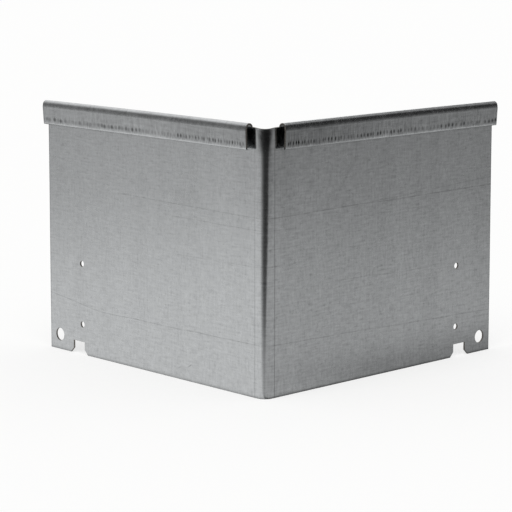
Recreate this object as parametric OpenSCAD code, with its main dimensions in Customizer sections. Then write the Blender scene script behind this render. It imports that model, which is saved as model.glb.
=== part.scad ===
// Inside corner of a roof edge trim. It is folded from one galvanised steel sheet.
// Units are millimetres and Z points up. The sheet stands on its bottom edge at z = 0.
// The outer faces of the two wings lie on y = 0 and x = 0, and the wings run along +X and +Y.
// The hem rolls outwards over the outer faces, on the roof side of the corner.

/* [Sheet] */
// Thickness of the galvanised sheet
sheet_t = 1.5; // [1:0.1:2]
// Length of the wing along X, measured from the outer corner
wing_x_len = 255; // [180:1:400]
// Length of the wing along Y, measured from the outer corner
wing_y_len = 255; // [180:1:400]
// Height from the bottom edge to the top of the hem
sheet_h = 205; // [140:1:300]
// Outer radius of the vertical bend
bend_r = 8; // [5:0.5:12]
// Height of the plain edge that is left between the two hems at the bend
corner_h = 202; // [120:0.5:299]

/* [Hem] */
// Outer radius of the rolled top
hem_r = 3.7; // [3.4:0.1:6]
// Height of the hem, from the top of the roll to the lower edge of the flap
hem_h = 19.3; // [12:0.1:40]
// Angle by which the flap leans back to the sheet, in degrees
flap_lean = 4.5; // [0:0.5:6]
// Distance from the outer corner to the start of the hem on the X wing
hem_x_start = 16; // [10:0.5:60]
// Distance from the outer corner to the start of the hem on the Y wing
hem_y_start = 14; // [10:0.5:60]

/* [Bottom notch] */
// Width of the notch between its upright sides
notch_w = 14; // [6:0.5:30]
// Depth of the notch, from the bottom edge to its flat top
notch_h = 10.5; // [6:0.5:20]
// Distance from the free end of the wing to the middle of the notch
notch_in = 36.8; // [30:0.1:60]
// Width and height of the slanted corner on each side of the mouth
notch_flare = 4; // [1:0.5:5]

/* [Holes] */
// Diameter of the large hole near the lower corner of each wing
bolt_d = 10.5; // [6:0.5:14]
// Distance from the free end to the middle of the large hole
bolt_in = 12; // [10:0.5:16]
// Height of the middle of the large hole
bolt_z = 12.5; // [10:0.5:30]
// Diameter of the two small holes
rivet_d = 4.9; // [3:0.1:7]
// Distance from the free end to the middle of the small holes
rivet_in = 41.5; // [20:0.5:80]
// Height of the lower small hole
rivet_z = 25; // [20:1:60]
// Distance between the two small holes
rivet_pitch = 50; // [20:1:90]

/* [Hidden] */
$fn = 96;
// Height of the middle of the roll
roll_z = sheet_h - hem_r;
// Distance of the middle of the roll from the outer face of the wing
roll_out = hem_r - sheet_t;
// Length of the straight part of the flap
flap_len = (hem_h - hem_r + hem_r * sin(flap_lean)) / cos(flap_lean);
// A cutter reaches this far past each face that it cuts
reach = 2;

// Outline of the bent sheet, seen from above, with wings of the given lengths
module bend_outline(len_x, len_y) {
    translate([bend_r, 0]) square([len_x - bend_r, sheet_t]);
    translate([0, bend_r]) square([sheet_t, len_y - bend_r]);
    translate([bend_r, bend_r]) intersection() {
        difference() {
            circle(r = bend_r);
            circle(r = bend_r - sheet_t);
        }
        translate([-bend_r, -bend_r]) square(bend_r);
    }
}

// Ring of sheet that the roll is cut from
module roll_ring() {
    difference() {
        circle(r = hem_r);
        circle(r = hem_r - sheet_t);
    }
}

// Section of the hem. Here x is the distance outwards from the outer face and y is the height
module hem_section() {
    // The section takes in the top of the upright sheet, so that the two are one piece of metal
    translate([-sheet_t, roll_z - hem_h]) square([sheet_t, hem_h]);
    translate([roll_out, roll_z]) {
        // The half turn over the top
        intersection() {
            roll_ring();
            translate([-2 * hem_r, 0]) square(4 * hem_r);
        }
        // The turn goes on by the angle of lean, and runs out into the straight flap
        rotate(-flap_lean) {
            intersection() {
                roll_ring();
                square(2 * hem_r);
            }
            translate([hem_r - sheet_t, -flap_len]) square([sheet_t, flap_len]);
        }
    }
}

// Hem along a wing that runs in +Y with its outer face on x = 0
module hem_run(start, end) {
    translate([0, end, 0]) rotate([90, 0, 0]) mirror([1, 0, 0])
        linear_extrude(height = end - start) hem_section();
}

// Everything cut through one wing near its free end. The wing runs in +Y with its outer face on x = 0
module end_cutters(len) {
    translate([-reach, 0, 0]) rotate([90, 0, 90]) linear_extrude(height = sheet_t + 2 * reach) {
        translate([len - bolt_in, bolt_z]) circle(d = bolt_d);
        translate([len - rivet_in, rivet_z]) circle(d = rivet_d);
        translate([len - rivet_in, rivet_z + rivet_pitch]) circle(d = rivet_d);
        translate([len - notch_in, 0]) polygon([
            [-notch_w / 2, notch_h], [notch_w / 2, notch_h], [notch_w / 2, notch_flare],
            [notch_w / 2 + notch_flare, 0], [notch_w / 2 + notch_flare, -reach],
            [-notch_w / 2 - notch_flare, -reach], [-notch_w / 2 - notch_flare, 0], [-notch_w / 2, notch_flare]]);
    }
}

// Turns something made for the Y wing into the same thing on the X wing
module on_x_wing() {
    mirror([1, -1, 0]) children();
}

// The whole trim: the bent sheet, the plain edge at the bend, and the hem of each wing
module folded_sheet() {
    color([0.62, 0.63, 0.64]) difference() {
        union() {
            linear_extrude(height = roll_z) bend_outline(wing_x_len, wing_y_len);
            linear_extrude(height = corner_h) bend_outline(hem_x_start, hem_y_start);
            hem_run(hem_y_start, wing_y_len);
            on_x_wing() hem_run(hem_x_start, wing_x_len);
        }
        end_cutters(wing_y_len);
        on_x_wing() end_cutters(wing_x_len);
    }
}

folded_sheet();
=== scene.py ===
# %% [markdown]
# # Inside corner of a roof edge trim
# The part is one sheet of galvanised steel, 1.5 mm thick. It was cut flat, punched, rolled over along
# its top edge and bent through a right angle in the middle, so that it lines an inside corner of a roof
# edge. This lesson makes it in the order of the workshop: blank, cut-outs, thickness, edges, hem and bend.
# Then it gets its zinc surface, and stands on a pale table in soft light.

# %% Load the imported model
import math
import bmesh
import bpy
from mathutils import Matrix, Vector


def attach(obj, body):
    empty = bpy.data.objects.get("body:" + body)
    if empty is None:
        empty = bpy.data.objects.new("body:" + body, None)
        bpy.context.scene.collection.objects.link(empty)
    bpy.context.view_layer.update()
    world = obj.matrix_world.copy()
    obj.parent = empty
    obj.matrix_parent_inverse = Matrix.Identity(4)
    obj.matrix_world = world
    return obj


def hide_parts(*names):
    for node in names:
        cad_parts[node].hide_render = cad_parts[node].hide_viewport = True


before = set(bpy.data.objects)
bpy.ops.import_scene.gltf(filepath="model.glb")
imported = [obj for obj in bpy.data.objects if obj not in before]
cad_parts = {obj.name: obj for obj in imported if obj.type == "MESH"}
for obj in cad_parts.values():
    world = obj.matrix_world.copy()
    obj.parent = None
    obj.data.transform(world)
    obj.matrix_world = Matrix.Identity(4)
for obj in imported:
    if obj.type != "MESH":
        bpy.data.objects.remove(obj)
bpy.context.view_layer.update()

MM = 0.001


# %% [markdown]
# ## Sizes
# The sizes are those of the solid model, in millimetres. The outer faces of the two wings lie on the
# planes y = 0 and x = 0, and the sheet's thickness lies inside them. The flat blank needs two more
# lengths: what the bend and the roll use up. A workshop reads them from a table. Here they are measured
# along the middle of the sheet, because there the metal is neither stretched nor squeezed.

# %% Sizes of the folded sheet
THICK = 1.5
WING = 255.0  # from the outer corner to a free end
TOP_Z = 205.0  # height with the hems
CORNER_H = 202.0  # height between the hems
BEND_R = 8.0  # outer radius of the bend
BEND_OPENS = 2.1  # how much wider the bend is at its top end, where no hem holds the sheet
OPENS_FROM = 184.0  # the height from which it opens
SAG = 0.75  # how much bending drew the top edge down in the middle of the bend
SAG_REACH = 10.0  # how far along the sheet, to both sides
HEM_START_X = 16.0  # from the corner to the hem on the wing along X, and on the one along Y
HEM_START_Y = 14.0
HEM_H = 19.3
ROLL_R = 3.53  # outer radius of the roll; its front then eases into the flap
EASE = math.radians(14.0)  # how far short of a half turn the roll ends
EASE_R_END = 9.9  # outer radius of the easing at the free ends, and beside the bend
EASE_R_BEND = 13.5
EASE_DROP = 2.35  # how far below the middle of the roll the flap begins
LEAN_END = math.radians(4.0)  # how far the flap leans in at the free ends, and beside the bend
LEAN_BEND = math.radians(2.4)
SPRING = 0.5  # how far a free end springs open at its foot, and leans in at its top
CROWN = 0.35  # how much the hem rises in the middle of a wing
print("folded sheet %.0f x %.0f mm, %.0f mm high" % (WING, WING, TOP_Z))

# %% Sizes of the flat blank
half_bend = (BEND_R - THICK / 2) * math.pi / 4
roll_z, roll_in, roll_mid = TOP_Z - ROLL_R, ROLL_R - THICK, ROLL_R - THICK / 2
roll_turn = math.pi - EASE
roll_len = roll_mid * roll_turn
ease_len = EASE_R_END * (EASE + LEAN_END)
flap_len = HEM_H - ROLL_R - EASE_DROP
blank_half = half_bend + WING - BEND_R
blank_h = roll_z + roll_len + ease_len + flap_len
right_hem = half_bend + HEM_START_X - BEND_R  # where the hems start, along the blank
left_hem = -(half_bend + HEM_START_Y - BEND_R)
print("flat blank %.1f x %.1f mm" % (2 * blank_half, blank_h))
print("the bend uses %.1f mm of it, and the roll %.1f mm" % (2 * half_bend, roll_len))

# %% [markdown]
# ## The flat blank
# The blank starts as one square face, stood up so that x runs along it and z up it. A fine even grid
# would do, but would need many more faces. A flat sheet needs few, while the metal has to turn smoothly
# in the bend and in the roll. So cuts with `bisect_plane` divide the face like ruled lines, which lie
# close together where it turns. Others mark the notches, and the square windows round the holes.

# %% Places of the ruled lines
def steps(start, end, count):
    """Even places from start to end, both included."""
    return [start + (end - start) * i / count for i in range(count + 1)]


# The bend, then on each wing: the rim, the cut-outs, the start of the hem, and the plain stretch.
widest = half_bend + BEND_OPENS
along = steps(-widest, widest, 40) + [-widest - 0.6, widest + 0.6]
for side, hem in ((1, right_hem), (-1, -left_hem)):
    for from_end in (0.8, 3.5, 20.5, 25.8, 29.8, 37.5, 43.8, 45.5, 47.8):
        along.append(side * (blank_half - from_end))
    along += [side * hem, side * (hem + 0.8)]
    along += [side * place for place in steps(hem + 6.0, blank_half - 55.0, 26)]
# The rim and the cut-outs, the wall, the roll, its easing, and the flap.
flap_z = blank_h - flap_len
up = [0.8, 4.0, 10.5, 21.0, 29.0] + steps(36.0, 71.0, 5) + steps(79.0, roll_z - 6.0, 15)
up += [roll_z - 0.6] + steps(roll_z, roll_z + roll_len, 22) + [CORNER_H]
up += steps(roll_z + roll_len + 0.4, flap_z, 6) + [flap_z + 5.0, blank_h - 6.0, blank_h - 1.8]
print("ruled lines:", len(along), "upright and", len(up), "level")

# %% Rule the blank
SAME_PLACE = 1e-7  # points closer to a cut than this, in metres, lie on it


def flat_axis(index):
    """The direction of an axis of the standing blank: 0 along it, 1 through it, 2 up it."""
    return Vector([float(index == i) for i in range(3)])


blank = bmesh.new()
bmesh.ops.create_grid(blank, x_segments=1, y_segments=1, size=1.0)
bmesh.ops.rotate(blank, verts=blank.verts, matrix=Matrix.Rotation(math.pi / 2, 3, "X"))
bmesh.ops.translate(blank, verts=blank.verts, vec=(0, 0, 1))
bmesh.ops.scale(blank, verts=blank.verts, vec=(blank_half * MM, 1, blank_h / 2 * MM))
for axis, places in ((0, along), (2, up)):
    for place in places:
        everything = blank.verts[:] + blank.edges[:] + blank.faces[:]
        bmesh.ops.bisect_plane(blank, geom=everything, dist=SAME_PLACE,
                               plane_co=flat_axis(axis) * place * MM, plane_no=flat_axis(axis))
print("ruled blank:", len(blank.faces), "faces")

# %% [markdown]
# ## Cutting out
# Between the two hems the blank stays plain at the bend, so the strip for the hems is cut away there.
# Each wing has a notch in its bottom edge, with slanted corners at its mouth, and three punched holes.
# A Boolean modifier could cut them, but leaves long thin faces, which shade badly on metal. So a square
# window is cut out for each hole and its sides are divided into 32 short edges. These are extruded
# inwards, and the new points are moved onto a circle, which gives a round hole in squares.

# %% Cut away the strip at the bend
def faces_within(mesh, x0, x1, z0, z1):
    """The faces whose middle lies inside a rectangle of the standing blank, in mm."""
    found = []
    for face in mesh.faces:
        middle = face.calc_center_median() / MM
        if min(x0, x1) < middle.x < max(x0, x1) and z0 < middle.z < z1:
            found.append(face)
    return found


def cut_out(mesh, faces):
    """Takes faces out, with the edges and points that only they had."""
    bmesh.ops.delete(mesh, geom=faces, context="FACES")


cut_out(blank, faces_within(blank, left_hem, right_hem, CORNER_H, blank_h))
print("after the strip:", len(blank.faces), "faces")

# %% Cut the notches
NOTCH_IN = 36.8  # from the free end to the middle of the notch
NOTCH_W, NOTCH_H = 14.0, 10.5
FLARE = 4.0  # the slants at its mouth

for side in (1, -1):
    middle, half = side * (blank_half - NOTCH_IN), NOTCH_W / 2
    cut_out(blank, faces_within(blank, middle - half, middle + half, 0, NOTCH_H))
    for way in (1, -1):
        inner, outer = middle + way * half, middle + way * (half + FLARE)
        lip = faces_within(blank, inner, outer, 0, FLARE)
        parts = dict.fromkeys(part for face in lip for part in (*face.verts, *face.edges, face))
        bmesh.ops.bisect_plane(blank, geom=list(parts), dist=SAME_PLACE,
                               plane_co=Vector((inner, 0, FLARE)) * MM, plane_no=Vector((way, 0, 1)))
        waste = []
        for face in faces_within(blank, inner, outer, 0, FLARE):
            at = face.calc_center_median() / MM
            if way * (at.x - inner) + at.z < FLARE:
                waste.append(face)
        cut_out(blank, waste)
print("after the notches:", len(blank.faces), "faces")

# %% Helpers for the holes
def window_edges(mesh, centre, window):
    """The open edges of a square window, whose sides lie that many mm from its centre."""
    found = []
    for edge in mesh.edges:
        off = [vert.co - centre for vert in edge.verts]
        if edge.is_boundary and all(max(abs(o.x), abs(o.z)) < window * MM * 1.001 for o in off):
            found.append(edge)
    return found


def on_circle(off):
    """Where a point on the side of a square comes to lie on a circle of radius 1 round its centre."""
    share = min(abs(off.x), abs(off.z)) / max(abs(off.x), abs(off.z)) * math.pi / 4
    longer, shorter = math.cos(share), math.sin(share)
    x, z = (longer, shorter) if abs(off.x) > abs(off.z) else (shorter, longer)
    return Vector((math.copysign(x, off.x), 0, math.copysign(z, off.z)))


def points_of(made):
    """The points among the parts that an operator says it made."""
    return [part for part in made["geom"] if isinstance(part, bmesh.types.BMVert)]


print("a window's corner goes to %.3f, %.3f" % tuple(on_circle(Vector((1.0, 0.0, 1.0))).xz))

# %% Punch the holes
HOLES = [  # from the free end, up from the foot, diameter, and from the centre to the window's sides
    (12.0, 12.5, 10.5, 8.5), (41.5, 25.0, 4.9, 4.0), (41.5, 75.0, 4.9, 4.0)]
SHORT_EDGES = 32

for side in (1, -1):
    for inwards, rise, diameter, window in HOLES:
        place = side * (blank_half - inwards)
        centre = Vector((place, 0, rise)) * MM
        cut_out(blank, faces_within(blank, place - window, place + window, rise - window, rise + window))
        for edge in window_edges(blank, centre, window):
            share = edge.calc_length() / (8 * window * MM)  # of the whole way round
            bmesh.ops.subdivide_edges(blank, edges=[edge], cuts=round(share * SHORT_EDGES) - 1)
        ring = bmesh.ops.extrude_edge_only(blank, edges=window_edges(blank, centre, window))
        for vert in points_of(ring):
            vert.co = centre + on_circle(vert.co - centre) * diameter / 2 * MM
print("after the holes:", len(blank.faces), "faces")

# %% [markdown]
# ## Thickness and edges
# The blank gets its 1.5 mm by extruding every face through the sheet. A Solidify modifier would do that
# too, but only a real mesh lets the rims be picked out and rounded. A guillotine and a punch leave
# edges that are slightly rounded and never razor sharp, so all rims are rounded by 0.4 mm. The lower
# edge of the flap was pressed smooth by the folding tool, and gets a round of 1.1 mm, which catches the
# light as a fine bright line. The zinc's colour is also lightened along it, as a painted highlight.

# %% Give the sheet its thickness
def measures(mesh):
    """The number of faces and open edges of a mesh, and its volume."""
    open_edges = sum(not edge.is_manifold for edge in mesh.edges)
    volume = mesh.calc_volume(signed=True) / MM ** 3
    return "%d faces, %d open edges, %.0f mm3" % (len(mesh.faces), open_edges, volume)


bmesh.ops.recalc_face_normals(blank, faces=blank.faces)
back = bmesh.ops.extrude_face_region(blank, geom=blank.faces[:], use_keep_orig=True)
bmesh.ops.translate(blank, verts=points_of(back), vec=(0, THICK * MM, 0))
bmesh.ops.recalc_face_normals(blank, faces=blank.faces)
print("thick blank:", measures(blank))

# %% Round the edges
RIM_R = 0.4
FLAP_EDGE_R = 1.1


def rim_edges(mesh):
    """The edges between a flat side of the sheet and a wall through it."""
    found = []
    for edge in mesh.edges:
        if len(edge.link_faces) == 2:
            across = sorted(abs(face.normal.y) for face in edge.link_faces)
            if across[0] < 0.1 and across[1] > 0.9:
                found.append(edge)
    return found


def round_off(mesh, edges, radius, segments):
    """Rounds edges by a radius in mm."""
    bmesh.ops.bevel(mesh, geom=edges, offset=radius * MM, offset_type="OFFSET", segments=segments,
                    profile=0.5, affect="EDGES", clamp_overlap=True, material=-1)


flap_edge = [edge for edge in rim_edges(blank) if all(
    vert.co.z > (blank_h - 0.01) * MM and vert.co.y > 0.9 * THICK * MM for vert in edge.verts)]
round_off(blank, flap_edge, FLAP_EDGE_R, segments=5)
round_off(blank, rim_edges(blank), RIM_R, segments=2)
print("rounded:", measures(blank))

# %% Tell the cut walls from the zinc
ZINC, BARE = 0, 1  # the sheet's two materials, in the order in which it gets them
FLAT_SIDE = 0.985  # a face that points through the sheet by less than this share is a wall

blank.normal_update()
for face in blank.faces:
    on_wall = abs(face.normal.y) < FLAT_SIDE
    on_flap_edge = face.calc_center_median().z > (blank_h - FLAP_EDGE_R - 0.3) * MM
    face.material_index = BARE if on_wall and not on_flap_edge else ZINC
print("cut walls:", sum(face.material_index == BARE for face in blank.faces), "faces")

# %% [markdown]
# ## Folding
# The pattern of the zinc and the marks of the rolling mill were on the sheet before it was folded, so each
# point first notes where it lies on the flat blank, and the materials read that note later. A UV map could
# hold it, but these three numbers also tell the two faces of the sheet apart. Then every point moves to its
# place in the folded sheet: first over the roll at the top, then round the bend. Modifiers that bend a mesh
# would not keep its thickness, and this does. No hem holds the sheet at the top of the bend, so the metal
# springs back there: the bend grows wider, and its edge dips.

# %% Note the flat places
flat_place = blank.verts.layers.float_vector.new("flat_place")
for vert in blank.verts:
    vert[flat_place] = vert.co
print("flat places noted:", len(blank.verts))

# %% Section of the hem
def hem_section(height, depth, reach):
    """How far out of the outer face and how high a point of the hem comes to lie, in mm."""
    ease_r = EASE_R_BEND + (EASE_R_END - EASE_R_BEND) * reach
    lean = LEAN_BEND + (LEAN_END - LEAN_BEND) * reach
    along_hem = height - roll_z
    turn = min(along_hem / roll_mid, roll_turn)
    radius = roll_in + depth
    out, rise = roll_in - radius * math.cos(turn), roll_z + radius * math.sin(turn)
    if along_hem > roll_len:
        more = min((along_hem - roll_len) / ease_r, EASE + lean)
        straight = max(along_hem - roll_len - ease_r * (EASE + lean), 0.0)
        wide = ease_r - THICK / 2 + depth
        turn += more
        out += wide * (math.cos(roll_turn) - math.cos(turn)) + straight * math.sin(turn)
        rise += wide * (math.sin(turn) - math.sin(roll_turn)) + straight * math.cos(turn)
    return out, rise


for name, reach in (("beside the bend", 0.0), ("at the free ends", 1.0)):
    print("edge of the flap", name + ": %.2f mm out, %.2f mm up" % hem_section(blank_h, THICK, reach))

# %% Fold
def share_of_way(value, start, end):
    """How far a value has come from start to end, from 0 to 1."""
    return min(max((value - start) / (end - start), 0.0), 1.0)


def fold(point):
    """The place in the folded sheet of a point on the standing blank, both in mm."""
    run, depth, height = point
    out = -depth
    reach = max(abs(run) - half_bend, 0.0) / (blank_half - half_bend)
    plain_edge = left_hem - 0.01 < run < right_hem + 0.01 and height < CORNER_H + 0.01
    if height > roll_z and not plain_edge:
        out, height = hem_section(height, depth, reach)
    # The hem holds the top straight; lower down the free ends spring open by half a millimetre.
    out += SPRING * reach * math.cos(math.pi * min(height / roll_z, 1.0))
    height += CROWN * 4.0 * reach * (1.0 - reach) * share_of_way(height, 0.75 * roll_z, roll_z)
    opened = share_of_way(height, OPENS_FROM, CORNER_H)
    wider = BEND_OPENS * opened * opened * (3.0 - 2.0 * opened)
    height -= SAG * opened * max(1.0 - (run / SAG_REACH) ** 2, 0.0) ** 2
    if abs(run) > half_bend + wider:
        place = (BEND_R + abs(run) - half_bend, -out)
        return Vector((*(place if run > 0 else place[::-1]), height))
    angle = math.radians(225) + run / (half_bend + wider) * math.pi / 4
    middle, radius = BEND_R + wider, BEND_R + wider + out
    return Vector((middle + radius * math.cos(angle), middle + radius * math.sin(angle), height))


for vert in blank.verts:
    vert.co = fold(vert.co / MM) * MM
blank.normal_update()
print("folded:", measures(blank))

# %% Make the object
mesh = bpy.data.meshes.new("zinc_coated_sheet")
blank.to_mesh(mesh)
blank.free()
sheet = bpy.data.objects.new("zinc_coated_sheet", mesh)
bpy.context.scene.collection.objects.link(sheet)
mesh.shade_smooth()
mesh.set_sharp_from_angle(angle=math.radians(50))
shading = sheet.modifiers.new("even shading", "WEIGHTED_NORMAL")
shading.keep_sharp = True
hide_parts("folded_sheet")
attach(sheet, "root")
print("triangles:", sum(len(face.vertices) - 2 for face in mesh.polygons))

# %% [markdown]
# ## Helpers for materials
# Colours are written as sRGB hex values, as a colour picker shows them, and turned to the linear values
# that the renderer works with. One function adds a node with its settings and links, and hands back one of
# its outputs, so that each line below reads as one step of the pattern. Inputs are named, or numbered from
# 0 down the node. A Map Range takes its value at 0, and leads it from the range at 1 and 2 to the one at 3
# and 4; both are 0 to 1 where nothing is given.

# %% Colours and nodes
def linear(colour):
    """An sRGB colour such as "#B8BCBE" as linear red, green and blue, with alpha 1."""
    parts = [int(colour[i:i + 2], 16) / 255 for i in (1, 3, 5)]
    return (*[p / 12.92 if p <= 0.04045 else ((p + 0.055) / 1.055) ** 2.4 for p in parts], 1.0)


def add(tree, kind, inputs=None, output=0, **settings):
    """Adds a node with its settings, fills its inputs with values or links, and gives one output, or all."""
    made = tree.nodes.new("ShaderNode" + kind)
    for name, value in settings.items():
        setattr(made, name, value)
    for name, value in (inputs or {}).items():
        if isinstance(value, bpy.types.NodeSocket):
            tree.links.new(value, made.inputs[name])
        else:
            made.inputs[name].default_value = value
    return made.outputs[output] if output is not None and len(made.outputs) else made.outputs


def new_material(name):
    """An empty node material and its node tree."""
    material = bpy.data.materials.new(name)
    material.use_nodes = True
    material.node_tree.nodes.clear()
    return material, material.node_tree


SOFT = {"interpolation_type": "SMOOTHSTEP"}  # a Map Range that eases in and out
print("a middle grey, #808080, is %.3f as a linear value" % linear("#808080")[0])

# %% [markdown]
# ## Galvanised steel
# The sheet was drawn through molten zinc and then rolled smooth. That leaves a dull grey metal with a
# mottle of small zinc grains, short strokes that run with the rolling, and upright runs of the zinc. A
# picture could be laid on it, but noise has no seams and no end. It is stretched along or up the sheet to
# the sizes that these marks have in millimetres.

# %% Galvanised steel: grain of the zinc
zinc, tree = new_material("galvanised_steel")
flat = add(tree, "Attribute", output="Vector", attribute_name="flat_place")
# In mm. The depth counts thirty-fold, so that the two faces of the sheet carry unlike patterns.
place = add(tree, "VectorMath", {0: flat, 1: (1 / MM, 30 / MM, 1 / MM)}, operation="MULTIPLY")

GRAINS = {  # size along the sheet and up it in mm, levels of detail
    "mottle": (3.4, 3.4, 2.0),        # zinc grains, drawn coarser: the real ones are under 1 mm
    "with_rolling": (10.0, 1.7, 0.0),
    "upright": (1.9, 9.0, 0.0),
    "spots": (2.1, 2.4, 0.0),
    "short_strokes": (7.0, 1.0, 0.0),
    "short_runs": (1.2, 6.5, 0.0),
    "columns": (17.0, 240.0, 1.0),
    "clouds": (55.0, 40.0, 2.0),
    "wander": (60.0, 900.0, 1.0),     # these four vary the marks of the rolls and of the folding tool
    "breaks": (7.0, 900.0, 2.0),
    "groups": (19.0, 900.0, 1.0),
    "rubbed": (0.9, 13.0, 1.0)}
grain = {}
for name, (size_along, size_up, detail) in GRAINS.items():
    scale = (1 / size_along, 1 / size_along, 1 / size_up)
    scaled = add(tree, "VectorMath", {0: place, 1: scale}, operation="MULTIPLY")
    noise = add(tree, "TexNoise", {"Vector": scaled, "Scale": 1.0, "Detail": detail})
    grain[name] = add(tree, "Math", {0: noise, 1: 0.5}, operation="SUBTRACT")
print("grains:", ", ".join(grain))

# %% Galvanised steel: tone of the grain
# How much each grain lightens and darkens the zinc, and how much those that only darken it do.
EVEN = {"mottle": 0.25, "with_rolling": 0.18, "upright": 0.13, "columns": 0.10, "clouds": 0.07}
ONLY_DARK = {"spots": 0.07, "short_strokes": 0.07, "short_runs": 0.05}

run, depth, height = add(tree, "SeparateXYZ", {0: place}, output=None)
pattern = 0.0
for name, share in EVEN.items():
    pattern = add(tree, "Math", {0: grain[name], 1: share, 2: pattern}, operation="MULTIPLY_ADD")
for name, share in ONLY_DARK.items():
    dark = add(tree, "MapRange", {0: grain[name], 1: 0.10, 2: 0.24, 4: share}, **SOFT)
    pattern = add(tree, "Math", {0: pattern, 1: dark}, operation="SUBTRACT")
# One half of the blank came off the rolls with a stronger grain than the other, most of all near the top.
for value, first, last, most in ((run, -6.0, 6.0, 1.4), (height, 115.0, 155.0, 1.05)):
    stronger = add(tree, "MapRange", {0: value, 1: first, 2: last, 3: 1.0, 4: most}, **SOFT)
    pattern = add(tree, "Math", {0: pattern, 1: stronger}, operation="MULTIPLY")
tone = add(tree, "Math", {0: pattern, 1: 1.0}, operation="ADD")
print("nodes for the grain:", len(tree.nodes))

# %% [markdown]
# ## Marks of the rolls
# Long thin lines are rubbed in by the rolls of the coating line. They lie almost level, cross the bend and
# fade here and there, and between them lies a soft darker band where the sheet rubbed on its neighbour.
# They are too fine to cut into the mesh, so the material draws them. Each line is a list of its two ends
# on the flat blank, which takes it round the bend by itself.

# %% Galvanised steel: long lines
LINES = [  # start along and up, end along and up, how far the line reaches to both sides in mm, strength
    (-165, 137.4, -3, 135.6, 0.62, 0.20), (-3, 135.4, 255, 137.4, 0.68, 0.29),
    (110, 137.0, 253, 143.5, 0.62, 0.20), (-188, 38.7, -3, 40.5, 0.62, 0.26),
    (-3, 40.5, 253, 33.6, 0.62, 0.24), (-255, 47.0, -188, 38.7, 0.62, 0.24),
    (-98, 126.9, 30, 126.2, 0.62, 0.18), (95, 127.5, 180, 127.4, 0.62, 0.13),
    (-96, 97.6, 40, 99.8, 0.62, 0.15), (-170, 73.6, -140, 74.4, 0.62, 0.12),
    (62, 80.3, 178, 78.0, 0.62, 0.17), (-30, 112.0, 46, 112.6, 0.62, 0.10),
    (76, 150.0, 91, 168.0, 4.0, 0.10), (-82.5, 11.2, -78.5, 13.4, 0.8, 0.35),
    (-94, 9.0, -90, 10.2, 0.8, 0.25)]
marks = 0.0  # the share of the tone that all marks and painted shades together take away; the painted highlight gives some back
for start, from_height, end, to_height, reach, strength in LINES:
    middle = add(tree, "MapRange", {0: run, 1: start, 2: end, 3: from_height, 4: to_height})
    middle = add(tree, "Math", {0: grain["wander"], 1: 2.0, 2: middle}, operation="MULTIPLY_ADD")
    away = add(tree, "Math", {0: height, 1: middle}, operation="SUBTRACT")
    away = add(tree, "Math", {0: away}, operation="ABSOLUTE")
    shade = add(tree, "MapRange", {0: away, 1: reach, 2: reach / 6, 4: strength}, **SOFT)
    soft_end = min(3.0, (end - start) / 3)
    for end_place, fading in ((start, soft_end), (end, -soft_end)):
        inside = add(tree, "MapRange", {0: run, 1: end_place - fading, 2: end_place + fading}, **SOFT)
        shade = add(tree, "Math", {0: shade, 1: inside}, operation="MULTIPLY")
    marks = add(tree, "Math", {0: marks, 1: shade}, operation="MAXIMUM")
broken = add(tree, "MapRange", {0: grain["breaks"], 1: -0.12, 2: 0.12, 3: 0.4, 4: 1.0}, **SOFT)
marks = add(tree, "Math", {0: marks, 1: broken}, operation="MULTIPLY")
print("long lines:", len(LINES))

# %% Galvanised steel: soft band
BAND_UP = 141.0
band = add(tree, "Math", {0: height, 1: BAND_UP}, operation="SUBTRACT")
band = add(tree, "Math", {0: band}, operation="ABSOLUTE")
band = add(tree, "MapRange", {0: band, 1: 16.0, 2: 2.0, 4: 0.06}, **SOFT)
patchy = add(tree, "MapRange", {0: grain["clouds"], 1: -0.05, 2: 0.2}, **SOFT)
band = add(tree, "Math", {0: band, 1: patchy}, operation="MULTIPLY")
marks = add(tree, "Math", {0: marks, 1: band}, operation="ADD")
print("nodes with the marks of the rolls:", len(tree.nodes))

# %% [markdown]
# ## Marks of the folding tool
# The tool left a fine line on both sides of the bend. Beside it, under the hems, lies a soft painted shade.
# On the flap it pressed a row of dull spots, four millimetres above the edge, and rubbed fine upright
# streaks over them. The flap, which shows the back of the sheet, is drawn darker, most of all near the
# bend. Its lower edge is lightened as a painted highlight, and under it a thin painted shade lies on the
# wing. The two hems were rolled one after the other, so these marks differ a little between the wings.
# The spots could be dents in the mesh, but they are too shallow to show as such. So a pattern of cells
# counts them out along the flap, one spot to a cell, and the random colour of the cell gives its spot a
# height and a strength of its own.

# %% Galvanised steel: how the two wings differ
BY_WING = {  # on the left wing, and on the right one
    "tool_line": (0.24, 0.38),        # strength of the line beside the bend
    "line_at_top": (0.4, 0.75),       # the share of it that is left at the top
    "count_from": (0.0, 7.3),         # so that the two flaps carry unlike spots
    "far_slim": (2.4, 3.4),           # how slim the spots are away from the bend
    "finer": (1.0, 1.4),              # strength of the streaks
    "near": (1.3, 1.7),               # strength of spots and streaks near the bend, and far from it
    "far": (1.15, 1.3),
    "shine": (-0.26, -0.5),           # how much the flap's edge is lightened, a painted highlight
    "dullest": (0.22, 0.38),          # how much darker the flap is near the bend
    "dull_far": (0.6, 0.5),           # the share of it that is left away from the bend
    "strained": (0.10, 0.02)}         # how much duller the roll is, where the zinc was stretched
wing = {}
for name, (on_left, on_right) in BY_WING.items():
    wing[name] = add(tree, "MapRange", {0: run, 1: -1.0, 2: 1.0, 3: on_left, 4: on_right})
print("values that differ between the wings:", len(wing))

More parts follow.
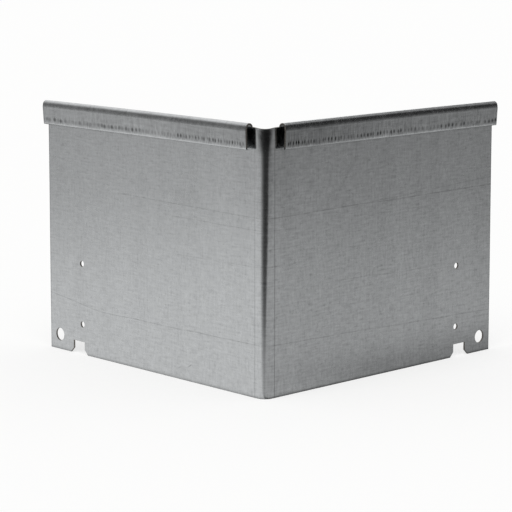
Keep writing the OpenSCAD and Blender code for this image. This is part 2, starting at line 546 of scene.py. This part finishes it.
# %% Galvanised steel: beside the bend
LINE_FROM_BEND = 8.05
from_bend = add(tree, "Math", {0: run}, operation="ABSOLUTE")
away = add(tree, "Math", {0: from_bend, 1: LINE_FROM_BEND}, operation="SUBTRACT")
away = add(tree, "Math", {0: away}, operation="ABSOLUTE")
line = add(tree, "MapRange", {0: away, 1: 0.7, 2: 0.1}, **SOFT)
pressure = add(tree, "MapRange", {
    0: height, 1: 110.0, 2: 150.0, 3: 1.0, 4: wing["line_at_top"]}, **SOFT)
for part in (wing["tool_line"], pressure):
    line = add(tree, "Math", {0: line, 1: part}, operation="MULTIPLY")
marks = add(tree, "Math", {0: marks, 1: line}, operation="ADD")
# A soft painted shade beside it, which comes in under the hems.
painted_shade_beside_bend = add(tree, "MapRange", {0: from_bend, 1: 36.0, 2: 14.0, 4: 0.05}, **SOFT)
near_top = add(tree, "MapRange", {0: height, 1: 135.0, 2: 165.0}, **SOFT)
marks = add(tree, "Math", {0: painted_shade_beside_bend, 1: near_top, 2: marks}, operation="MULTIPLY_ADD")
print("the fine lines lie %.1f mm from the middle of the bend" % LINE_FROM_BEND)

# %% Galvanised steel: dull spots on the flap
SPOT_UP = 4.3  # above the edge of the flap
STEP_AT_BEND, STEP_GROWS = 2.7, 0.0095  # 2.7 mm from spot to spot at the bend, and 5 mm at the free ends
counted = add(tree, "Math", {
    0: from_bend, 1: STEP_GROWS / STEP_AT_BEND, 2: 1.0}, operation="MULTIPLY_ADD")
counted = add(tree, "Math", {0: counted, 1: math.e}, operation="LOGARITHM")
counted = add(tree, "Math", {0: counted, 1: wing["count_from"]}, operation="ADD")
cell = add(tree, "TexVoronoi", {"W": counted, "Scale": 1 / STEP_GROWS, "Randomness": 0.45}, output=None,
           voronoi_dimensions="1D")
luck = add(tree, "SeparateColor", {0: cell["Color"]}, output=None)
level = add(tree, "MapRange", {0: luck[0], 3: blank_h - SPOT_UP - 0.3, 4: blank_h - SPOT_UP + 0.3})
slim = add(tree, "MapRange", {0: from_bend, 1: 60.0, 2: 150.0, 3: 3.7, 4: wing["far_slim"]})
beside = add(tree, "Math", {0: cell["Distance"], 1: slim}, operation="MULTIPLY")
above = add(tree, "Math", {0: height, 1: level}, operation="SUBTRACT")
above = add(tree, "Math", {0: above, 1: 0.65}, operation="MULTIPLY")  # so the spots are longer upwards
off_centre = add(tree, "CombineXYZ", {0: beside, 1: above})
off_centre = add(tree, "VectorMath", {0: off_centre}, output="Value", operation="LENGTH")
spot = add(tree, "MapRange", {0: off_centre, 1: 1.5, 2: 0.3}, **SOFT)
deep = add(tree, "MapRange", {0: luck[1], 3: 0.25, 4: 0.65})
groups = add(tree, "MapRange", {0: grain["groups"], 1: -0.14, 2: -0.02, 3: 0.5, 4: 1.0}, **SOFT)
for part in (deep, groups):
    spot = add(tree, "Math", {0: spot, 1: part}, operation="MULTIPLY")
counts = [math.log(1 + STEP_GROWS / STEP_AT_BEND * place) / STEP_GROWS for place in (right_hem, blank_half)]
print("dull spots on the right flap: about %.0f" % (counts[1] - counts[0]))

# %% Galvanised steel: streaks, and painted highlight on the edge of the flap
on_back = add(tree, "MapRange", {0: depth, 1: 30.0, 2: 40.0}, **SOFT)
on_flap = add(tree, "MapRange", {0: height, 1: flap_z - 2.0, 2: flap_z + 1.0}, **SOFT)
on_flap = add(tree, "Math", {0: on_flap, 1: on_back}, operation="MULTIPLY")
streaks = add(tree, "MapRange", {
    0: height, 1: blank_h - 13.0, 2: blank_h - 5.0, 3: 0.15, 4: 0.7}, **SOFT)
for part in (wing["finer"], grain["rubbed"]):
    streaks = add(tree, "Math", {0: streaks, 1: part}, operation="MULTIPLY")
harder = add(tree, "MapRange", {0: from_bend, 1: 60.0, 2: 150.0, 3: wing["near"], 4: wing["far"]})
# Painted highlight: the colour is lightened along the lower edge of the flap.
painted_edge_highlight = add(tree, "MapRange", {
    0: height, 1: blank_h - 2.7, 2: blank_h - 0.8, 4: wing["shine"]}, **SOFT)
rubbed = add(tree, "Math", {0: spot, 1: streaks}, operation="ADD")
# The painted highlight of the flap's edge is added to the spots and streaks here.
rubbed = add(tree, "Math", {0: rubbed, 1: harder, 2: painted_edge_highlight}, operation="MULTIPLY_ADD")
rubbed = add(tree, "Math", {0: rubbed, 1: on_flap}, operation="MULTIPLY")
marks = add(tree, "Math", {0: marks, 1: rubbed}, operation="ADD")
print("the flap covers the last %.1f mm of the blank" % flap_len)

# %% Galvanised steel: painted shade under the flap, and darker free ends
# Painted shade: a thin darker line on the wing just under the flap's edge.
painted_shade_under_flap = add(tree, "Math", {0: height, 1: TOP_Z - HEM_H - 0.6}, operation="SUBTRACT")
painted_shade_under_flap = add(tree, "Math", {0: painted_shade_under_flap}, operation="ABSOLUTE")
painted_shade_under_flap = add(tree, "MapRange", {0: painted_shade_under_flap, 1: 1.3, 2: 0.3, 4: 0.13}, **SOFT)  # painted shade on the wing, just under the flap's edge
beside_hem = add(tree, "MapRange", {0: from_bend, 1: right_hem - 2.0, 2: right_hem + 1.0}, **SOFT)
painted_shade_under_flap = add(tree, "Math", {0: painted_shade_under_flap, 1: beside_hem}, operation="MULTIPLY")
# The zinc is drawn darker along the last millimetre of the free ends.
darker_free_ends = add(tree, "MapRange", {0: from_bend, 1: blank_half - 1.4, 2: blank_half - 0.4, 4: 0.3}, **SOFT)
for part in (painted_shade_under_flap, darker_free_ends):
    marks = add(tree, "Math", {0: marks, 1: part}, operation="ADD")
print("nodes with the marks of the folding tool:", len(tree.nodes))

# %% Galvanised steel: tone with all its marks, painted shades and painted highlight
dull = add(tree, "MapRange", {0: from_bend, 1: 50.0, 2: 130.0, 3: 1.0, 4: wing["dull_far"]}, **SOFT)
for part in (wing["dullest"], on_flap):
    dull = add(tree, "Math", {0: dull, 1: part}, operation="MULTIPLY")
for part in (marks, dull):
    kept = add(tree, "Math", {0: 1.0, 1: part}, operation="SUBTRACT")
    tone = add(tree, "Math", {0: tone, 1: kept}, operation="MULTIPLY")
colour = add(tree, "VectorMath", {0: linear("#C6C8C9")[:3], "Scale": tone}, operation="SCALE")
print("nodes for the colour:", len(tree.nodes))

# %% Galvanised steel: roughness
# The folding tool rubbed the bend smooth, and stretching left the zinc of the roll duller.
smoothest = add(tree, "MapRange", {0: run, 1: -2.0, 2: 2.0, 3: 0.18, 4: 0.13})
rough = add(tree, "MapRange", {0: from_bend, 1: 11.0, 2: 18.0, 3: smoothest, 4: 0.23}, **SOFT)
on_roll = add(tree, "MapRange", {0: height, 1: roll_z - 3.0, 2: roll_z + 1.0}, **SOFT)
roll_end = roll_z + roll_len
past_roll = add(tree, "MapRange", {0: height, 1: roll_end, 2: roll_end + 3.0}, **SOFT)
on_roll = add(tree, "Math", {0: on_roll, 1: past_roll}, operation="SUBTRACT")
for part, share in ((grain["mottle"], 0.2), (grain["clouds"], 0.10), (on_roll, wing["strained"])):
    rough = add(tree, "Math", {0: part, 1: share, 2: rough}, operation="MULTIPLY_ADD")
print("nodes with the roughness:", len(tree.nodes))

# %% Galvanised steel: put together
RELIEF = 0.008  # how high the grain stands, in mm
relief = grain["mottle"]
for name, share in (("with_rolling", 0.5), ("upright", 0.4)):
    relief = add(tree, "Math", {0: grain[name], 1: share, 2: relief}, operation="MULTIPLY_ADD")
bump = add(tree, "Bump", {"Height": relief, "Strength": 1.0, "Distance": RELIEF * MM}, output="Normal")
metal = add(tree, "BsdfPrincipled", {
    "Base Color": colour, "Metallic": 1.0, "Roughness": rough, "Normal": bump})
add(tree, "OutputMaterial", {0: metal})
mesh.materials.append(zinc)
print("nodes in the zinc:", len(tree.nodes))

# %% [markdown]
# ## Cut edges
# Where the sheet was sheared and punched, the steel under the zinc lies bare. It has dulled to a darker
# grey, and the fine grooves of the cut run through the sheet. A darker zinc would do from afar, but its
# level strokes would run the wrong way here, so it is made as a rough metal of its own.

# %% Sheared steel
GROOVES = (2.2, 0.5, 2.2)  # how many to a millimetre along the edge, through the sheet and up the edge
bare, tree = new_material("sheared_steel")
flat = add(tree, "Attribute", output="Vector", attribute_name="flat_place")
grooves = tuple(count / MM for count in GROOVES)
grooves = add(tree, "VectorMath", {0: flat, 1: grooves}, operation="MULTIPLY")
grooves = add(tree, "TexNoise", {"Vector": grooves, "Scale": 1.0, "Detail": 2.0})
tone = add(tree, "MapRange", {0: grooves, 1: 0.3, 2: 0.7, 3: 0.7, 4: 1.3})
colour = add(tree, "VectorMath", {0: linear("#77736E")[:3], "Scale": tone}, operation="SCALE")
bump = add(tree, "Bump", {"Height": grooves, "Strength": 1.0, "Distance": 0.03 * MM}, output="Normal")
metal = add(tree, "BsdfPrincipled", {
    "Base Color": colour, "Metallic": 0.75, "Roughness": 0.55, "Normal": bump})
add(tree, "OutputMaterial", {0: metal})
mesh.materials.append(bare)
print("materials on the sheet:", [material.name for material in mesh.materials])

# %% [markdown]
# ## Table
# The part stands on a plain pale table. A strong lamp could turn the table white, but would bleach the
# metal too. So the paper on it is a matt white, and for the camera alone a share of even white lightens
# it. The share is small enough that the part's shadow stays.

# %% Table
def plain_object(name, shape):
    """Turns a bmesh into an object of the stage and frees it."""
    data = bpy.data.meshes.new(name)
    shape.to_mesh(data)
    shape.free()
    made = bpy.data.objects.new(name, data)
    bpy.context.scene.collection.objects.link(made)
    return made


WHITE = linear("#FFFFFF")
SHARE_OF_WHITE = 0.62
top = bmesh.new()
bmesh.ops.create_grid(top, x_segments=1, y_segments=1, size=12.0)
table = plain_object("table", top)
paper, tree = new_material("matt_white_paper")
matt = add(tree, "BsdfDiffuse", {"Color": linear("#F8F8F7")})
white = add(tree, "Emission", {"Color": WHITE, "Strength": 1.0})
to_camera = add(tree, "LightPath", output="Is Camera Ray")
to_camera = add(tree, "Math", {0: to_camera, 1: SHARE_OF_WHITE}, operation="MULTIPLY")
matt = add(tree, "MixShader", {0: to_camera, 1: matt, 2: white})
add(tree, "OutputMaterial", {0: matt})
table.data.materials.append(paper)
print("table:", [round(length, 1) for length in table.dimensions], "m")

# %% [markdown]
# ## What the metal sees
# A metal face shows what stands in front of it, so a photographer dresses the surroundings for it: pale
# where the metal should shine, dark where it should draw. A picture of a real room would show as clutter
# in the wings. So a cloth lies round the part, pale to the left and greyer to the right, with a dark strip
# in front of the corner that becomes the dark line of the bend. The camera looks down a little, so the
# foot of a wing shows the cloth close to it, and its top the cloth a metre away. Only reflections see the
# cloth, and its grey follows the bearing and the distance from the part.

# %% Cloth: shape
def for_metal_only(card):
    """The card is seen in reflections, and by nothing else."""
    card.visible_camera = card.visible_diffuse = card.visible_shadow = False
    card.visible_transmission = card.visible_volume_scatter = False


CLOTH_R = 4.0
ABOVE_TABLE = 0.0002
cloth_shape = bmesh.new()
bmesh.ops.create_circle(cloth_shape, cap_ends=True, segments=64, radius=CLOTH_R,
                        matrix=Matrix.Translation((0, 0, ABOVE_TABLE)))
cloth = plain_object("cloth", cloth_shape)
for_metal_only(cloth)
print("cloth:", [round(length, 1) for length in cloth.dimensions], "m")

# %% Cloth: what changes with the distance
stuff, tree = new_material("grey_cloth")
point = add(tree, "TexCoord", output="Object")
away = add(tree, "VectorMath", {0: point}, output="Value", operation="LENGTH")
# Each has its value at the part, and stretches (from and to in metres) over which it eases by a change.
# The edges and widths of the dark strip's two soft sides are in degrees.
BY_DISTANCE = {
    "left_edge": (5.0, ((0.1, 0.45, -7.0), (0.7, 1.2, 9.0))),
    "left_width": (-46.0, ((0.7, 1.2, -9.0),)),
    "right_edge": (-4.0, ((0.0, 1.0, 31.0),)),
    "right_width": (18.0, ((1.3, 1.7, 8.0),)),
    "strip": (0.42, ((0.0, 0.44, -0.335), (0.5, 0.9, -0.035), (1.3, 1.6, -0.015))),
    "around": (1.0, ((0.42, 0.95, -0.16), (0.95, 1.2, -0.18), (1.25, 1.5, 0.10), (1.7, 2.8, -0.2))),
    "right_of_strip": (1.0, ((0.3, 0.9, -0.08), (1.0, 1.45, -0.26)))}
at_distance = {}
for name, (value, stretches) in BY_DISTANCE.items():
    for start, end, change in stretches:
        change = add(tree, "MapRange", {0: away, 1: start, 2: end, 4: change}, **SOFT)
        value = add(tree, "Math", {0: value, 1: change}, operation="ADD")
    at_distance[name] = value
print("values of the cloth that change with the distance:", len(at_distance))

# %% Cloth: dark strip and pale sides
def bearing_of(tree, point):
    """A point's bearing from the part in degrees, 0 towards the camera and positive to the right."""
    turned = add(tree, "VectorRotate", {
        "Vector": point, "Angle": math.radians(45)}, rotation_type="Z_AXIS")
    right, ahead = add(tree, "SeparateXYZ", {0: turned}, output=None)[:2]
    nearer = add(tree, "Math", {0: ahead, 1: -1.0}, operation="MULTIPLY")
    bearing = add(tree, "Math", {0: right, 1: nearer}, operation="ARCTAN2")
    return add(tree, "Math", {0: bearing}, operation="DEGREES")


bearing = bearing_of(tree, point)
sides = []
for name in ("left", "right"):
    edge, width = at_distance[name + "_edge"], at_distance[name + "_width"]
    outer = add(tree, "Math", {0: edge, 1: width}, operation="ADD")
    side = add(tree, "MapRange", {0: bearing, 1: edge, 2: outer})
    sides.append(add(tree, "Math", {0: side, 1: 2.0}, operation="POWER"))
aside = add(tree, "Math", {0: sides[0], 1: sides[1]}, operation="MAXIMUM")
right = add(tree, "MapRange", {
    0: bearing, 1: 60.0, 2: 105.0, 3: at_distance["right_of_strip"], 4: 1.02})
right = add(tree, "Math", {0: right, 1: 0.495}, operation="MULTIPLY")
pale = add(tree, "MapRange", {0: bearing, 1: -28.0, 2: 20.0, 3: 0.82, 4: right}, **SOFT)
pale = add(tree, "Math", {0: pale, 1: at_distance["around"]}, operation="MULTIPLY")
glow = add(tree, "Mix", {0: aside, 2: at_distance["strip"], 3: pale})
print("nodes in the cloth so far:", len(tree.nodes))

# %% Cloth: darker behind the free ends
# There it draws the edges of the sheet, which turn away.
SLANT = 0.4  # how steeply the border of the dark ground runs away from each free end
x, y = add(tree, "SeparateXYZ", {0: point}, output=None)[:2]
beyond = add(tree, "Math", {0: x, 1: y}, operation="MAXIMUM")
behind = add(tree, "MapRange", {0: beyond, 1: 0.24, 2: 0.27, 4: 0.8}, **SOFT)
border = SLANT * WING * MM
for ahead, beside in ((y, x), (x, y)):
    past_end = add(tree, "Math", {0: beside, 1: SLANT, 2: ahead}, operation="MULTIPLY_ADD")
    past_end = add(tree, "MapRange", {0: past_end, 1: border, 2: border + 0.05}, **SOFT)
    behind = add(tree, "Math", {0: behind, 1: past_end}, operation="MULTIPLY")
lit = [add(tree, "Math", {0: 1.0, 1: behind}, operation="SUBTRACT")]  # the shares of its glow that stay
print("nodes in the cloth so far:", len(tree.nodes))

# %% Cloth: shade at the foot of the wings
# A soft one lies along the foot of the right wing, and a thin dark one right under both wings.
shadow = add(tree, "MapRange", {0: y, 1: -0.10, 2: -0.01, 4: 0.38}, **SOFT)
along_wing = add(tree, "MapRange", {0: x, 1: 0.0, 2: 0.165}, **SOFT)
in_front = add(tree, "MapRange", {0: y, 1: 0.03, 2: 0.0})
for part in (along_wing, in_front):
    shadow = add(tree, "Math", {0: shadow, 1: part}, operation="MULTIPLY")
lit.append(add(tree, "Math", {0: 1.0, 1: shadow}, operation="SUBTRACT"))
from_foot = add(tree, "Math", {0: x, 1: y}, operation="MINIMUM")
from_foot = add(tree, "Math", {0: from_foot}, operation="ABSOLUTE")
darkest = add(tree, "MapRange", {0: bearing, 1: -10.0, 2: 10.0, 3: 0.55, 4: 0.2})
lit.append(add(tree, "MapRange", {0: from_foot, 1: 0.0, 2: 0.006, 3: darkest, 4: 1.0}))
for part in lit:
    glow = add(tree, "Math", {0: glow, 1: part}, operation="MULTIPLY")
shine = add(tree, "Emission", {"Color": WHITE, "Strength": glow})
add(tree, "OutputMaterial", {0: shine})
cloth.data.materials.append(stuff)
print("nodes in the cloth:", len(tree.nodes))

# %% [markdown]
# ## Walls
# The rolled hems look up and outwards, so they show the walls of the room, and the satin zinc blurs some
# of the walls into the wings as well. A darker sky could stand for them, but it has no foot and no sides.
# So they are a ring of upright panels, dark in front, and paler at the sides, at the foot and towards the
# top, with a gap behind the part. They too are seen by the metal alone. At the back they glow softly, for
# the inner faces of the sheet.

# %% Walls: panels
WALL_R, WALL_H = 3.0, 4.2
OPEN_LEFT, OPEN_RIGHT = 140, 172  # the gap starts at these degrees from the camera's side
wall_shape = bmesh.new()
bmesh.ops.create_circle(wall_shape, cap_ends=False, segments=72, radius=WALL_R)
rising = bmesh.ops.extrude_edge_only(wall_shape, edges=wall_shape.edges[:])
bmesh.ops.translate(wall_shape, verts=points_of(rising), vec=(0, 0, WALL_H))
gap = []
for face in wall_shape.faces:
    from_front = math.degrees(face.calc_center_median().to_2d().angle_signed(Vector((-1, -1))))
    if not -OPEN_LEFT < from_front < OPEN_RIGHT:
        gap.append(face)
cut_out(wall_shape, gap)
walls = plain_object("walls", wall_shape)
for_metal_only(walls)
print("wall panels:", len(walls.data.polygons), "with a gap of", len(gap), "behind the part")

# %% Walls: paint
# The glow at the foot and half a metre up, the heights between which it grows at the top, and by how much.
LEFT_HALF, RIGHT_HALF = (0.30, 0.14, 0.9, 3.3, 0.66), (0.18, 0.035, 2.2, 3.6, 0.12)
paint, tree = new_material("dark_wall_paint")
point = add(tree, "TexCoord", output="Object")
up = add(tree, "SeparateXYZ", {0: point}, output="Z")
halves = []
for foot, middle, top_start, top_end, top_glow in (LEFT_HALF, RIGHT_HALF):
    low = add(tree, "MapRange", {0: up, 1: 0.05, 2: 0.55, 3: foot, 4: middle}, **SOFT)
    high = add(tree, "MapRange", {0: up, 1: top_start, 2: top_end, 4: top_glow}, **SOFT)
    halves.append(add(tree, "Math", {0: low, 1: high}, operation="ADD"))
bearing = bearing_of(tree, point)
side = add(tree, "MapRange", {0: bearing, 1: -40.0, 2: 40.0}, **SOFT)
glow = add(tree, "Mix", {0: side, 2: halves[0], 3: halves[1]})
off_axis = add(tree, "Math", {0: bearing}, operation="ABSOLUTE")
front = add(tree, "MapRange", {0: off_axis, 1: 58.0, 2: 86.0, 3: 0.08, 4: 1.0}, **SOFT)
rear = add(tree, "MapRange", {0: off_axis, 1: 105.0, 2: 130.0, 4: 0.25}, **SOFT)  # for the inner faces
glow = add(tree, "Math", {0: glow, 1: front, 2: rear}, operation="MULTIPLY_ADD")
shine = add(tree, "Emission", {"Color": WHITE, "Strength": glow})
add(tree, "OutputMaterial", {0: shine})
walls.data.materials.append(paint)
print("nodes in the wall paint:", len(tree.nodes))

# %% [markdown]
# ## Light and camera
# The light is plain and soft: a white sky all round, and one large lamp above and in front, a little to
# the left, that lays a faint shadow behind the part. An area lamp would light the near table more than the
# far one, so a sun lamp with a wide angle is used, and reflections do not see it. The camera stands so that
# the edges, holes and notches of the sheet fall where the photograph has them, and its lens came out of
# the same fit.

# %% Sky
world = bpy.data.worlds.new("surroundings")
bpy.context.scene.world = world
world.use_nodes = True
tree = world.node_tree
tree.nodes.clear()
rays = add(tree, "LightPath", output=None)
seen = add(tree, "Math", {0: rays["Is Camera Ray"], 1: rays["Is Glossy Ray"]}, operation="ADD")
seen = add(tree, "Math", {0: seen, 1: rays["Is Transmission Ray"]}, operation="ADD")
strength = add(tree, "MapRange", {0: seen, 3: 0.6, 4: 1.0})  # what it lights, and what is seen of it
add(tree, "OutputWorld", {0: add(tree, "Background", {0: WHITE, 1: strength})})
print("nodes in the sky:", len(tree.nodes))

# %% Lamp
lamp_data = bpy.data.lights.new("large_soft_lamp", "SUN")
lamp_data.angle = math.radians(50)
lamp_data.energy = 1.51
lamp = bpy.data.objects.new("large_soft_lamp", lamp_data)
lamp.visible_glossy = False
bpy.context.scene.collection.objects.link(lamp)
towards_lamp = Vector((-0.6, -0.35, 1.3))
lamp.rotation_euler = towards_lamp.to_track_quat("Z", "Y").to_euler()
print("lamp %.0f degrees up" % math.degrees(math.asin(towards_lamp.normalized().z)))

# %% Camera
FOCAL_PX, FRAME_PX = 2035.25, 512  # focal length and width of the picture, in its pixels
LOOKS_DOWN, LOOKS_TOWARDS = 9.932, 46.529  # degrees below level, and from the X axis
camera_data = bpy.data.cameras.new("camera")
camera = bpy.data.objects.new("camera", camera_data)
bpy.context.scene.collection.objects.link(camera)
camera_data.sensor_width = 36.0
camera_data.lens = FOCAL_PX / FRAME_PX * 36.0
camera_data.clip_end = 50.0
camera.location = (-1.0128, -1.0593, 0.3652)
camera.rotation_euler = (math.radians(90 - LOOKS_DOWN), 0, math.radians(LOOKS_TOWARDS - 90))
bpy.context.scene.camera = camera
bpy.context.scene.view_settings.view_transform = "Standard"
print("camera %.2f m from the corner, lens %.0f mm" % (camera.location.length, camera_data.lens))
